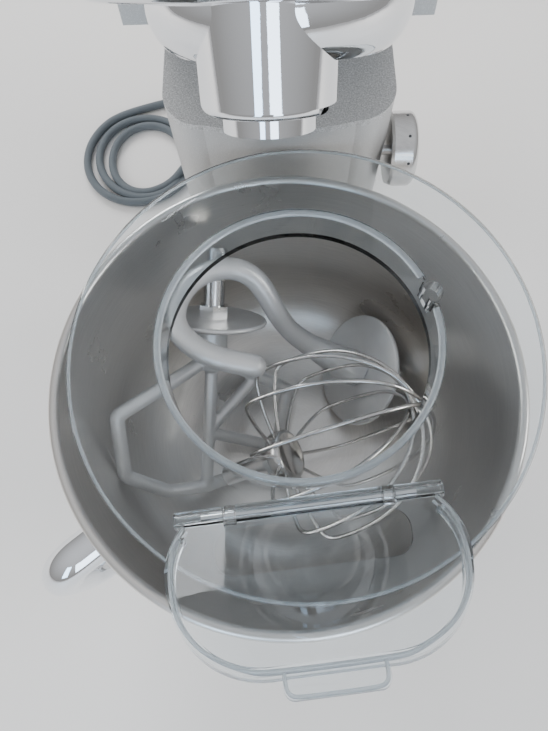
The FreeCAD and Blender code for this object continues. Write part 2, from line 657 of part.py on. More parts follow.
def build_drive():
    gap = value_of(D.running_gap)
    shaft = value_of(D.shaft_radius)
    ring_face, bell_face, hub_face = (value_of(size) for size in (D.ring_face, D.bell_face, D.hub_face))
    orbit = value_of(D.orbit_radius)
    node("hub_ring", turned("HubRing", [
        (D.ring_bore, D.ring_face + 1), (D.ring_bore + 2, D.ring_face), (D.ring_radius - 4, D.ring_face),
        ("arc", D.ring_radius.value - 1.0, ring_face + 1.4), (D.ring_radius, D.ring_face + 5),
        (D.ring_radius - 1, D.hub_face), (D.ring_bore, D.hub_face)]))

    internal = Part.makeCylinder(value_of(D.ring_bore), 5, Vector(0, 0, hub_face - 5.2))
    internal = internal.cut(Part.makeCylinder(value_of(D.ring_gear_pitch) + 0.15, 5, Vector(0, 0, hub_face - 5.2)))
    for index in range(60):
        notch = Part.makeBox(2.6, 1.6, 5, Vector(value_of(D.ring_gear_pitch) - 0.6, -0.8, hub_face - 5.2))
        notch.rotate(Vector(), Vector(0, 0, 1), index * 6)
        internal = internal.cut(notch)
    node("ring_gear", feature("RingGear", internal))

    stub = shaft - 2.2
    bell = turned("Bell", [
        (0, bell_face), (D.bell_radius - 8, bell_face), ("arc", value_of(D.bell_radius) - 3, bell_face + 4.5),
        (D.bell_radius - 1, D.ring_face - 1), (D.ring_bore - 1, D.ring_face + 1.5),
        (D.ring_bore - 1, D.hub_face - 5.6), (0, D.hub_face - 5.6)])
    doc.recompute()
    orbit_turn = Placement(Vector(), Rotation(Vector(0, 0, 1), -100))
    lobe = Part.makeCylinder(value_of(D.boss_radius), hub_face - 5.6 - value_of(D.boss_face),
                             Vector(orbit, 0, value_of(D.boss_face)))
    lobe_edges = [edge for edge in lobe.Edges if abs(edge.BoundBox.ZMin - value_of(D.boss_face)) < 0.01
                  and edge.BoundBox.ZLength < 0.01]
    lobe = lobe.makeFillet(2.0, lobe_edges)
    lobe = lobe.cut(Part.makeBox(60, 20, 20, Vector(-10, value_of(D.boss_radius) - 3.5, bell_face - 30)))
    hub = bell.Shape.fuse(lobe)
    hub = hub.cut(Part.makeCylinder(value_of(D.socket_radius) + 0.05, 60, Vector(orbit, 0, 160)))
    hub = hub.cut(Part.makeCylinder(stub, 60, Vector(0, 0, bell_face + 4)))
    node("planet_hub", feature("PlanetHub", hub.removeSplitter(), orbit_turn))
    shaft_solid = Part.makeCylinder(stub, hub_face - bell_face - 9.4, Vector(0, 0, bell_face + 4))
    shaft_solid = shaft_solid.fuse(Part.makeCylinder(shaft, 39.4, Vector(0, 0, hub_face - 5.4)))
    node("main_shaft", feature("MainShaft", shaft_solid.removeSplitter()))

    socket = Part.makeCylinder(value_of(D.socket_radius), hub_face - 6.0 - value_of(D.socket_face),
                               Vector(orbit, 0, value_of(D.socket_face)))
    bore = value_of(D.shank_radius) + value_of(D.shank_clearance)
    socket = socket.cut(Part.makeCylinder(bore, 26, Vector(orbit, 0, value_of(D.socket_face))))
    for turn in (0, 180):
        slot = Part.makeBox(10, 4, 12, Vector(0, -2, value_of(D.socket_face)))
        slot.rotate(Vector(), Vector(0, 0, 1), turn)
        slot.translate(Vector(orbit, 0, 0))
        socket = socket.cut(slot)
    node("tool_socket", feature("ToolSocket", socket, orbit_turn))
    pinion = gear("PlanetPinion", D.planet_pinion_pitch, hub_face - 5.2, hub_face - 0.4, 0, 20)
    pinion.translate(Vector(orbit, 0, 0))
    stub = Part.makeCylinder(6, 0.8, Vector(orbit, 0, hub_face - 6.0))
    node("planet_pinion", feature("PlanetPinion", pinion.fuse(stub).removeSplitter(), orbit_turn))

    floor = hub_face + value_of(D.head_wall)
    casing = Part.makeBox(96, 118, 3, Vector(-48, -44, floor))
    casing = casing.fuse(Part.makeCylinder(18, 18, Vector(0, 0, floor)))
    casing = casing.fuse(Part.makeCylinder(12, 18, Vector(0, IDLER_Y, floor)))
    bridge = floor + 53
    for side in (-44, 44):
        casing = casing.fuse(Part.makeCylinder(4, bridge - floor, Vector(side, INPUT_Y, floor)))
    casing = casing.fuse(Part.makeBox(96, 16, 3, Vector(-48, INPUT_Y - 8, bridge)))
    casing = casing.cut(Part.makeCylinder(4.05, 20, Vector(0, INPUT_Y, bridge - 5)))
    casing = casing.cut(Part.makeCylinder(14, 30, Vector(0, 0, floor - 5)))
    casing = casing.cut(Part.makeCylinder(5.05, 30, Vector(0, IDLER_Y, floor - 5)))
    node("gearbox_casing", feature("GearboxCasing", casing.removeSplitter()))
    bearing = Part.makeCylinder(14, 7, Vector(0, 0, 0)).cut(Part.makeCylinder(shaft + 0.03, 7, Vector(0, 0, 0)))
    node("main_bearings", feature("MainBearings", Part.makeCompound(
        [bearing.translated(Vector(0, 0, floor + 0.4)), bearing.translated(Vector(0, 0, floor + 10.6))])))

    level = floor + 21
    main = gear("MainGear", D.main_gear_pitch, level, level + 10, shaft, 64)
    node("main_gear", feature("MainGear", main))
    idler = gear("Idler", D.idler_pinion_pitch, level, level + 10, 0, 20)
    idler = idler.fuse(gear("IdlerWheel", D.idler_gear_pitch, level + 10.4, level + 18, 0, 58))
    idler = idler.fuse(Part.makeCylinder(5, level + 20 - floor, Vector(0, 0, floor)))
    node("idler_gear", feature("IdlerGear", idler.removeSplitter(), at(0, IDLER_Y, 0)))
    pinion = gear("InputPinion", D.input_pinion_pitch, level + 10.4, level + 18, 0, 18)
    pulley = Part.makeCylinder(value_of(D.driven_pulley_radius), 9, Vector(0, 0, level + 20))
    wheel = pinion.fuse(Part.makeCylinder(4, 18, Vector(0, 0, level + 17))).fuse(pulley)
    node("driven_pulley", feature("DrivenPulley", wheel.removeSplitter(), at(0, INPUT_Y, 0)))

    drive = Part.makeCylinder(value_of(D.drive_pulley_radius), 9, Vector(0, 0, level + 20))
    drive = drive.cut(Part.makeCylinder(4, 9, Vector(0, 0, level + 20)))
    motor_at = at(0, D.motor_y, 0)
    node("drive_pulley", feature("DrivePulley", drive, motor_at))
    node("drive_belt", feature("DriveBelt", belt(level + 20.5, 8.0, gap)))
    build_motor(motor_at, level)
    build_outlets(level)


IDLER_Y = D.main_gear_pitch.value + D.idler_pinion_pitch.value
INPUT_Y = IDLER_Y - D.idler_gear_pitch.value - D.input_pinion_pitch.value


def belt(low, height, gap):
    """Closed toothed belt drawn as a band round both pulleys."""
    far = D.motor_y.value - INPUT_Y
    large, small = D.driven_pulley_radius.value, D.drive_pulley_radius.value

    def loop(extra):
        lean = math.asin((large - small) / far)
        centres = ((Vector(0, INPUT_Y, low), large + extra), (Vector(0, D.motor_y.value, low), small + extra))
        right = [centre + Vector(math.cos(lean), math.sin(lean), 0) * radius for centre, radius in centres]
        left = [centre + Vector(-math.cos(lean), math.sin(lean), 0) * radius for centre, radius in centres]
        front = centres[0][0] - Vector(0, centres[0][1], 0)
        back = centres[1][0] + Vector(0, centres[1][1], 0)
        wire = Part.Wire([
            Part.LineSegment(right[0], right[1]).toShape(), Part.Arc(right[1], back, left[1]).toShape(),
            Part.LineSegment(left[1], left[0]).toShape(), Part.Arc(left[0], front, right[0]).toShape()])
        return Part.Face(wire).extrude(Vector(0, 0, height))

    return loop(gap + 1.8).cut(loop(gap))


def build_motor(motor_at, level):
    floor = value_of(D.head_underside) + value_of(D.head_wall)
    core_low, core_high = floor + 22, floor + 50
    stator = Part.makeBox(72, 72, core_high - core_low, Vector(-36, -36, core_low))
    upright = [edge for edge in stator.Edges if abs(edge.Vertexes[0].Z - edge.Vertexes[1].Z) > 1]
    stator = stator.makeFillet(9.0, upright)
    stator = stator.cut(Part.makeCylinder(22.6, 60, Vector(0, 0, core_low - 10)))
    node("motor_stator", feature("MotorStator", stator, motor_at))
    coils = []
    for low in (core_low - 7.2, core_high + 0.2):
        for side in (-1, 1):
            ring = Part.makeCylinder(33, 7, Vector(0, 0, low)).cut(Part.makeCylinder(24, 7, Vector(0, 0, low)))
            wedge = Part.makeBox(70, 30, 7, Vector(-35, 4 if side > 0 else -34, low))
            coils.append(ring.common(wedge))
    node("field_coils", feature("FieldCoils", Part.makeCompound(coils), motor_at))
    core = Part.makeCylinder(22, core_high - core_low, Vector(0, 0, core_low))
    for index in range(12):
        slot = Part.makeBox(5, 2, core_high - core_low, Vector(18, -1, core_low))
        slot.rotate(Vector(), Vector(0, 0, 1), index * 30)
        core = core.cut(slot)
    core = core.fuse(Part.makeCylinder(17, core_high - core_low + 8, Vector(0, 0, core_low - 4)))
    top = value_of(D.head_top)
    core = core.fuse(Part.makeCylinder(4, top - 20 - floor, Vector(0, 0, floor + 1)))
    coupling = Part.makeCylinder(10, top - 8 - (level + 29.4), Vector(0, 0, level + 29.4))
    core = core.fuse(coupling.cut(Part.makeBox(30, 5, 8, Vector(-15, -2.5, top - 14))))
    node("armature", feature("Armature", core.removeSplitter(), motor_at))
    ring_foot = Vector(0, 0, core_high + 4.4)
    ring = Part.makeCylinder(11, 9, ring_foot).cut(Part.makeCylinder(4, 9, ring_foot))
    node("commutator", feature("Commutator", ring, motor_at))
    brushes = [Part.makeBox(14, 6, 6, Vector(11.2, -3, core_high + 5.6)),
               Part.makeBox(14, 6, 6, Vector(-25.2, -3, core_high + 5.6))]
    node("carbon_brushes", feature("CarbonBrushes", Part.makeCompound(brushes), motor_at))
    fan = Part.makeCylinder(26, 1.2, Vector(0, 0, floor + 4)).cut(Part.makeCylinder(4, 8, Vector(0, 0, floor)))
    for index in range(9):
        blade = Part.makeBox(13, 1.2, 7, Vector(12, -0.6, floor + 5))
        blade.rotate(Vector(), Vector(0, 0, 1), index * 40)
        fan = fan.fuse(blade)
    node("cooling_fan", feature("CoolingFan", fan.removeSplitter(), motor_at))


def build_outlets(level):
    """Slow-speed outlet in the nose and high-speed outlet over the motor, with their covers."""
    nose = -value_of(D.head_front)
    ring = turned("SlowOutletRing", [
        (12.5, 0), (20.5, 0), (22, 1.5), (22, 20), (19, 20), (19, 24), (12.5, 24)])
    ring.Placement = at(0, nose - 1, OUTLET_Z, ALONG_Y)
    node("slow_outlet", ring)
    drive = turned("SlowDrive", [
        (0, 8), (9, 8), (9, 18), (5, 18), (5, 33.5), (10.6, 33.5), (7.0, 40), (0, 40)])
    drive.Placement = at(0, nose - 1, OUTLET_Z, ALONG_Y)
    node("slow_outlet_drive", drive)
    cap = turned("SlowCover", [
        (0, -4), (22, -4), ("arc", 24.0, -3.2), (24.6, -1.2), (24.6, -0.4), (12.0, -0.4), (12.0, 5), (0, 5)])
    cap.Placement = at(0, nose - 1, OUTLET_Z, ALONG_Y)
    node("slow_outlet_cover", cap)
    top = value_of(D.head_top)
    lid = turned("FastCover", [
        (0, top + 0.4), (24, top + 0.4), (26, top + 2.4), (22, top + 6), (0, top + 7.5)])
    doc.recompute()
    spigot = Part.makeCylinder(19.6, 5, Vector(0, 0, top - 4)).cut(Part.makeCylinder(17.6, 5, Vector(0, 0, top - 4)))
    node("fast_outlet_cover", feature("FastOutletCover", lid.Shape.fuse(spigot), at(0, D.motor_y, 0)))


HEAD_NODES = [
    "head_housing", "head_cover", "head_screws", "hub_ring", "ring_gear", "planet_hub", "main_shaft",
    "tool_socket", "planet_pinion", "gearbox_casing", "main_bearings", "main_gear", "idler_gear",
    "driven_pulley", "drive_pulley", "drive_belt", "motor_stator", "field_coils", "armature",
    "commutator", "carbon_brushes", "cooling_fan", "slow_outlet", "slow_outlet_drive",
    "slow_outlet_cover", "fast_outlet_cover"]


# --- bowl and splash guard ------------------------------------------------------------------

def build_bowl():
    floor, corner, wall = D.bowl_floor, D.bowl_corner, D.bowl_wall
    rim = D.rim_height - D.rim_bead
    mouth = D.rim_radius - D.rim_bead * 2
    side = mouth - D.bowl_flare
    flat = side - corner
    bend = math.sqrt(0.5)
    inner_mid = (flat.value + corner.value * bend, floor.value + corner.value * (1 - bend))
    outer_reach = corner.value + wall.value
    outer_mid = (flat.value + outer_reach * bend, floor.value + corner.value - outer_reach * bend)
    shell = turned("BowlWall", [
        (0, floor - wall), (flat, floor - wall), ("arc", *outer_mid), (side + wall, floor + corner),
        (mouth + wall, rim), (mouth, rim), (side, floor + corner), ("arc", *inner_mid), (flat, floor),
        (0, floor)])
    bead = primitive("Torus", "RimBead", at(z=D.rim_height - D.rim_bead), Radius1=mouth + D.rim_bead,
                     Radius2=D.rim_bead)
    trim = primitive("Cylinder", "RimTrim", at(z=D.rim_height - 12), Radius=mouth, Height=20.0)
    node("bowl_shell", fuse("BowlShell", shell, cut("RimRoll", bead, trim)))
    node("bowl_foot", turned("BowlFoot", [
        (D.foot_radius - D.foot_wall, D.seat_floor), (D.foot_radius - 1, D.seat_floor),
        (D.foot_radius, D.seat_floor + 1), (D.foot_radius - 2, floor - wall),
        (D.foot_radius - D.foot_wall, floor - wall)]))

    bearing = math.radians(D.handle_bearing.value)
    outward = Vector(math.cos(bearing), math.sin(bearing), 0)
    top, drop = D.handle_top.value, D.handle_drop.value
    wall_top = side.value + wall.value + 3.6
    thick = D.handle_tube.value
    reach = D.handle_reach.value
    profile = [(wall_top, top), (wall_top + reach * 0.55, top + 1), (wall_top + reach - thick, top - 12),
               (wall_top + reach - thick, top - drop + 14), (wall_top + reach * 0.5, top - drop - 2),
               (wall_top - 3.0, top - drop)]
    route = [tuple(outward * distance + Vector(0, 0, height)) for distance, height in profile]
    grip = tube(route, thick)
    doc.recompute()
    grip = grip.cut(Part.makeCylinder(side.value + wall.value + 0.6, 80, Vector(0, 0, top - 50)))
    node("bowl_handle", feature("BowlHandle", grip.cut(NODES["bowl_shell"].Shape)))


def guard_frame():
    """Where the splash guard lies: shifted on the rim and turned a little."""
    return Placement(Vector(D.guard_shift_x.value, D.guard_shift_y.value, D.rim_height.value),
                     Rotation(Vector(0, 0, 1), D.guard_turn.value))


LID_HINGE = Vector(-8.0, -71.1, 10.0)


def build_guard():
    wall = value_of(D.guard_wall)
    outer = value_of(D.guard_radius)
    collar = value_of(D.collar_radius)
    height = value_of(D.collar_height)
    offset = Vector(-3.0, -1.5, 0)
    flange = turned("GuardFlange", [
        (collar - 8, 3.4), (collar + 8, 3.4), (outer - 12, 0.4), (outer, 0.4), (outer, 0.4 + wall),
        (outer - 12, 0.4 + wall), (collar + 8, 3.4 + wall), (collar - 8, 3.4 + wall)])
    doc.recompute()
    body = flange.Shape
    ring = Part.makeCylinder(collar, height - 3.4, offset + Vector(0, 0, 3.4))
    lip = Part.makeTorus(collar - 1.6, 1.8, offset + Vector(0, 0, height - 1.4))
    hollow = Part.makeCylinder(collar - wall - 0.4, height + 10, offset + Vector(0, 0, -3))
    body = body.fuse(ring).fuse(lip).cut(hollow)
    notch = Part.makeCylinder(7.0, 20, offset + Vector(collar + 1, 14, height - 9))
    boss = Part.makeCylinder(5.0, 13, offset + Vector(collar - 1.5, 14, height - 15))
    body = body.cut(notch.common(Part.makeCylinder(collar + 9, 40, offset))).fuse(boss)
    feed = Part.makeBox(84, 19, 30, Vector(LID_HINGE.x - 42, -96, -10))
    upright = [edge for edge in feed.Edges if abs(edge.Vertexes[0].Z - edge.Vertexes[1].Z) > 1]
    body = body.cut(feed.makeFillet(8.0, upright))
    for side in (-1, 1):
        ear = Part.makeBox(4, 8, 6.7, Vector(LID_HINGE.x + side * 33 - 2, LID_HINGE.y - 4, 3.3))
        ear = ear.fuse(Part.makeCylinder(4.0, 4, LID_HINGE + Vector(side * 33 - 2, 0, 0), Vector(1, 0, 0)))
        ear = ear.cut(Part.makeCylinder(1.55, 8, LID_HINGE + Vector(side * 33 - 4, 0, 0), Vector(1, 0, 0)))
        body = body.fuse(ear)
    body = body.cut(hollow)
    node("splash_guard", feature("SplashGuard", body.removeSplitter(), guard_frame()))

    half = value_of(D.lid_width) / 2
    long = value_of(D.lid_length)
    plan = Part.Wire([
        Part.LineSegment(Vector(-46, 0, 0), Vector(-53, -4, 0)).toShape(),
        Part.Arc(Vector(-53, -4, 0), Vector(-half, -20, 0), Vector(-half + 2, -34, 0)).toShape(),
        Part.Arc(Vector(-half + 2, -34, 0), Vector(-44, -55, 0), Vector(-22, -long, 0)).toShape(),
        Part.LineSegment(Vector(-22, -long, 0), Vector(22, -long, 0)).toShape(),
        Part.Arc(Vector(22, -long, 0), Vector(44, -55, 0), Vector(half - 2, -34, 0)).toShape(),
        Part.Arc(Vector(half - 2, -34, 0), Vector(half, -20, 0), Vector(53, -4, 0)).toShape(),
        Part.LineSegment(Vector(53, -4, 0), Vector(46, 0, 0)).toShape(),
        Part.LineSegment(Vector(46, 0, 0), Vector(-46, 0, 0)).toShape()])
    plate = Part.Face(plan).extrude(Vector(0, 0, wall))
    inner = plan.makeOffset2D(-3.2)
    skirt = Part.Face(plan).extrude(Vector(0, 0, -5)).cut(Part.Face(inner).extrude(Vector(0, 0, -5)))
    skirt = skirt.cut(Part.makeBox(140, 12, 12, Vector(-70, -8, -8)))
    tab = Part.makeBox(36, 10, wall, Vector(-18, -long - 8, 0))
    corners = [edge for edge in tab.Edges if abs(edge.Vertexes[0].Z - edge.Vertexes[1].Z) > 1
               and edge.Vertexes[0].Y < -long - 4]
    lid = plate.fuse(skirt).fuse(tab.makeFillet(4.0, corners))
    knuckle = Part.makeCylinder(3.9, 61, Vector(-30.5, 0, 0), Vector(1, 0, 0))
    tips = [Part.makeCylinder(3.6, 20, Vector(-56, 0, 0), Vector(1, 0, 0)),
            Part.makeCylinder(3.6, 20, Vector(36, 0, 0), Vector(1, 0, 0))]
    lid = lid.fuse(knuckle).fuse(tips[0]).fuse(tips[1])
    for side in (-1, 1):
        lid = lid.cut(Part.makeBox(5.4, 12, 14, Vector(side * 33 - 2.7, -5.2, -7)))
    lid = lid.cut(Part.makeCylinder(1.6, 130, Vector(-65, 0, 0), Vector(1, 0, 0)))
    lid_frame = guard_frame().multiply(Placement(LID_HINGE, Rotation(Vector(1, 0, 0), -D.lid_rest_angle.value)))
    node("feed_lid", feature("FeedLid", max(lid.removeSplitter().Solids, key=lambda s: s.Volume), lid_frame))
    node("lid_pin", primitive("Cylinder", "LidPin", lid_frame.multiply(at(-45, 0, 0, ALONG_X)),
                              Radius=1.5, Height=90.0))


# --- tools lying in the bowl ------------------------------------------------------------------

def tool_frame(spot, axis, roll):
    """Frame of a tool: its disc at spot, its shank along axis, turned by roll about it."""
    lean = Rotation(Vector(0, 0, 1), Vector(*axis))
    return Placement(Vector(*spot), lean.multiply(Rotation(Vector(0, 0, 1), roll)))


def shank(label, frame, length):
    """Steel shank with a hexagon collar and the cross pin that locks it in the socket."""
    radius = value_of(D.shank_radius)
    rod = Part.makeCylinder(radius, length - 1.5).fuse(
        Part.makeCone(radius, radius - 1.5, 1.5, Vector(0, 0, length - 1.5)))
    nut = Part.Face(Part.makePolygon([
        Vector(9 * math.cos(math.radians(60 * k)), 9 * math.sin(math.radians(60 * k)), 0)
        for k in range(7)])).extrude(Vector(0, 0, 7))
    pin = Part.makeCylinder(1.8, 19, Vector(-9.5, 0, length - 11), Vector(1, 0, 0))
    node(label, feature(label.title().replace("_", ""), rod.fuse(nut).fuse(pin).removeSplitter(), frame))


BEATER_FRAME = tool_frame((-41, 53, 125), (0.10, 0.81, 0.58), 31)
HOOK_FRAME = tool_frame((48.9, 33.8, 74), (0.82, 0.07, -0.57), 0)
WHISK_FRAME = tool_frame((-5, -25, 93), (-0.83, -0.20, -0.52), 11)
HOOK_ROUTE = [(-16, 15, 148), (-27, 16, 152), (-39, 19, 154), (-49, 25, 156), (-56, 33, 157), (-58, 42, 157),
              (-55, 53, 157), (-48, 62, 157), (-37, 68, 156), (-25, 70, 152), (-15, 67, 145), (-9, 60, 136),
              (-3, 52, 123), (5, 47, 109), (15, 44, 98), (27, 40, 88)]


def build_beater():
    """Flat frame with a K inside it, hung from a neck below the disc."""
    half = value_of(D.beater_width) / 2
    deep = value_of(D.beater_length)
    bar = value_of(D.beater_bar)
    hoop = [(-6, 0, -27), (-half * 0.5, 0, -40), (-half + bar, 0, -53), (-half * 0.86, 0, -deep * 0.79),
            (-half * 0.42, 0, -deep + bar + 3), (0, 0, -deep + bar), (half * 0.42, 0, -deep + bar + 3),
            (half * 0.86, 0, -deep * 0.79), (half - bar, 0, -53), (half * 0.5, 0, -40), (6, 0, -27)]
    casting = tube(hoop, bar)
    for start, stop in (((0, 0, -27), (0, 0, -deep + bar)), ((0, 0, -72), (half * 0.55, 0, -39)),
                        ((0, 0, -74), (half * 0.80, 0, -deep * 0.81))):
        run = Vector(*stop) - Vector(*start)
        casting = casting.fuse(Part.makeCylinder(bar - 0.5, run.Length, Vector(*start), run))
    casting = casting.fuse(Part.makeCylinder(10, 27, Vector(0, 0, -30)))
    casting = casting.fuse(Part.makeCylinder(value_of(D.beater_disc), 3, Vector(0, 0, -3)))
    node("k_beater", feature("KBeater", casting.removeSplitter(), BEATER_FRAME))
    shank("k_beater_shank", BEATER_FRAME, value_of(D.tool_shank))


def build_hook():
    """Arm cast as one spiral, given where it lies, ending in a cone on the disc."""
    bar = value_of(D.hook_bar)
    route = [Vector(*point) for point in HOOK_ROUTE]
    arm = tube(HOOK_ROUTE, bar).fuse(Part.makeSphere(bar, route[0]))
    base = HOOK_FRAME.multVec(Vector(0, 0, -1))
    run = base - route[-1]
    casting = Part.makeCone(bar, 12, run.Length, route[-1], run).fuse(Part.makeSphere(bar, route[-1]))
    above = Part.makeCylinder(30, 30)
    above.Placement = HOOK_FRAME
    casting = casting.cut(above)
    disc = Part.makeCylinder(value_of(D.hook_disc), 3, Vector(0, 0, -3))
    disc.Placement = HOOK_FRAME
    node("dough_hook", feature("DoughHook", casting.fuse(arm).fuse(disc).removeSplitter()))
    shank("dough_hook_shank", HOOK_FRAME, value_of(D.hook_shank))


def build_whisk():
    """Cage of wire loops: each leaves the hub sideways, turns at a shoulder and crosses the tip."""
    radius = value_of(D.whisk_radius)
    length = value_of(D.whisk_length)
    shoulder = value_of(D.whisk_shoulder)
    loops = 6
    wires = []
    for index in range(loops):
        angle = math.pi * index / loops
        wide = radius - 0.5 * index
        low = -length + 2.6 * index
        half = [(10, -3.5 - 0.3 * index), (wide * 0.55, -shoulder * 0.42), (wide - 3, 2 - shoulder),
                (wide + 1, -shoulder - 8), (wide, -shoulder - 24), (wide * 0.9, -length * 0.6),
                (wide * 0.62, low * 0.86), (wide * 0.25, low * 0.98)]
        flat = [(-x, z) for x, z in half] + [(x, z) for x, z in reversed(half)]
        route = [(x * math.cos(angle), x * math.sin(angle), z) for x, z in flat]
        wires.append(tube(route, 1.1))
    node("whisk_wires", feature("WhiskWires", Part.makeCompound(wires), WHISK_FRAME))
    hub = Part.makeCone(14, 15, 4, Vector(0, 0, -9)).fuse(Part.makeCylinder(15, 5, Vector(0, 0, -5)))
    for wire in wires:
        hub = hub.cut(wire)
    node("whisk_hub", feature("WhiskHub", max(hub.Solids, key=lambda s: s.Volume), WHISK_FRAME))
    shank("whisk_shank", WHISK_FRAME, value_of(D.tool_shank))


# --- build, check and write -------------------------------------------------------------------

def check(objects):
    """Stop on any failed object or broken sub-part."""
    for obj in objects:
        if "Invalid" in obj.State or "Error" in obj.State:
            raise RuntimeError(f"{obj.Name} failed: {obj.State}")
    for label, obj in NODES.items():
        if obj.Shape.isNull() or not obj.Shape.isValid() or not obj.Shape.Solids:
            raise RuntimeError(f"{label} has no valid solid")


build_base()
build_column()
build_latch()
build_knob()
build_cord()
build_head_shells()
build_drive()
for name in HEAD_NODES:
    raise_up(NODES[name])
build_bowl()
build_guard()
build_beater()
build_hook()
build_whisk()
doc.recompute()
check(doc.Objects)

os.makedirs("parts", exist_ok=True)
for label, obj in NODES.items():
    obj.Shape.exportStep(os.path.join("parts", label + ".step"))
print(len(NODES), "sub-parts written")
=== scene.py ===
import json
import math

import bpy
import bmesh
from mathutils import Matrix, Vector

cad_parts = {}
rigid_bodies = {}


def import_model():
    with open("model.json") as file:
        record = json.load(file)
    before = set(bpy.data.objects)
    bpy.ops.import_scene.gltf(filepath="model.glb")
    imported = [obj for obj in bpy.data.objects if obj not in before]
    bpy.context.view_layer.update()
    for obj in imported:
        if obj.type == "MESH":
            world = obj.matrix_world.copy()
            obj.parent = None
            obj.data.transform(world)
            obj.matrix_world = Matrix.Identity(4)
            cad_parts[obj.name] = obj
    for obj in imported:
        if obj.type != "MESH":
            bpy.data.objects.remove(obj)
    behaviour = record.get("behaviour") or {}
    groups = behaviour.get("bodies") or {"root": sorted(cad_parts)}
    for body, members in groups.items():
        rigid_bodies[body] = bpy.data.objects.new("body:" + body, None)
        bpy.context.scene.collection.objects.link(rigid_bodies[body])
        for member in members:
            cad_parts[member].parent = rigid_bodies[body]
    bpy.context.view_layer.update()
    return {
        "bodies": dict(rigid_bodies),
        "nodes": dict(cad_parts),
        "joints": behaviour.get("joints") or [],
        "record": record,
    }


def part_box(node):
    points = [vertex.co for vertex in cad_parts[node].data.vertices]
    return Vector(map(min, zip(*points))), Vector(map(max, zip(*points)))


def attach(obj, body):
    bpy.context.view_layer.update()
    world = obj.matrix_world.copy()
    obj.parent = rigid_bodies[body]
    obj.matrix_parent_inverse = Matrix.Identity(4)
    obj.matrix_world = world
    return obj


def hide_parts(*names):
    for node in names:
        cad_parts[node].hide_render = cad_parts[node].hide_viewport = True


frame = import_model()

NODES = frame["nodes"]
# Sizes below are in millimetres; MM turns them into metres.
MM = 0.001


# --- camera, floor and light --------------------------------------------------------------------

EYE = Vector((-1.2, -70.6, 420.0)) * MM
PITCH, YAW, ROLL = (math.radians(angle) for angle in (17.5, -3.2, -4.4))
FOCAL_LENGTH = 27.04


def make_camera():
    look = Vector((math.sin(PITCH) * math.sin(YAW), math.sin(PITCH) * math.cos(YAW), -math.cos(PITCH)))
    level = Vector((math.cos(YAW), -math.sin(YAW), 0))
    steep = level.cross(look)
    right = level * math.cos(ROLL) + steep * math.sin(ROLL)
    up = steep * math.cos(ROLL) - level * math.sin(ROLL)
    data = bpy.data.cameras.new("camera")
    data.lens = FOCAL_LENGTH
    data.sensor_width = 36.0
    data.clip_start = 0.01
    data.clip_end = 50
    camera = bpy.data.objects.new("camera", data)
    camera.matrix_world = Matrix.Translation(EYE) @ Matrix((right, up, -look)).transposed().to_4x4()
    bpy.context.scene.collection.objects.link(camera)
    bpy.context.scene.camera = camera


def area_light(name, place, target, size, power, colour=(1, 1, 1), mirrored=True):
    data = bpy.data.lights.new(name, "AREA")
    data.shape = "RECTANGLE"
    data.size, data.size_y = size
    data.energy = power
    data.color = colour
    lamp = bpy.data.objects.new(name, data)
    lamp.location = place
    lamp.rotation_euler = (Vector(target) - Vector(place)).to_track_quat("-Z", "Y").to_euler()
    lamp.visible_glossy = mirrored
    bpy.context.scene.collection.objects.link(lamp)


# --- node materials -----------------------------------------------------------------------------

